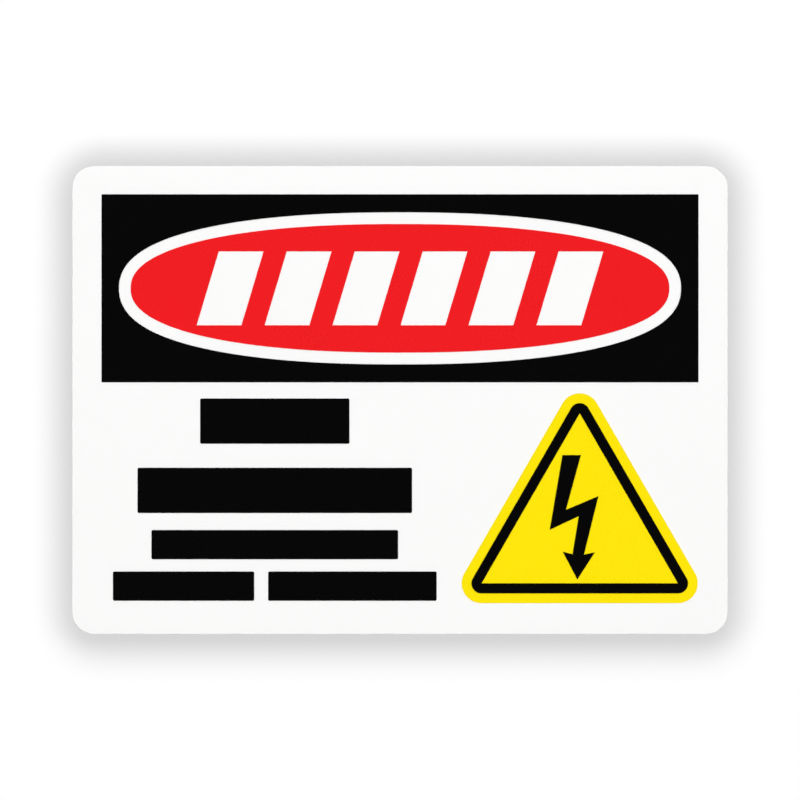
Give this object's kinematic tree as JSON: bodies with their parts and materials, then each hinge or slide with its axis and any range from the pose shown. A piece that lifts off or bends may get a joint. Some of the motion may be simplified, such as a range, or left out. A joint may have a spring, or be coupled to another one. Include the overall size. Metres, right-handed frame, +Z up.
{
  "type": "high voltage warning sign",
  "caption": "Flat rectangular safety sign with rounded corners: a striped red oval on a black header, plain message bars and a yellow triangle with a lightning arrow.",
  "frame": {"origin": "centre of the flat back face of the blank, which is the face that is fixed", "axes": "+X runs across the sign's width, +Z runs up its height, and +Y points out of its back, so the printed face looks towards -Y"},
  "size_m": [0.3556, 0.0024, 0.254],
  "materials": {
    "white_enamel": "smooth white baked enamel on the face; bare mill-finish aluminium at the back and on the sheared edges",
    "black_film": "satin black cut film",
    "red_film": "satin safety-red cut film",
    "yellow_film": "satin safety-yellow cut film"
  },
  "bodies": {
    "root": {"sign_plate": "white_enamel", "header_field": "black_film", "signal_oval": "red_film", "warning_triangle": "yellow_film", "triangle_border": "black_film", "lightning_arrow": "black_film", "message_bar_1a": "black_film", "message_bar_2a": "black_film", "message_bar_3a": "black_film", "message_bar_4a": "black_film", "message_bar_4b": "black_film"}
  },
  "joints": []
}
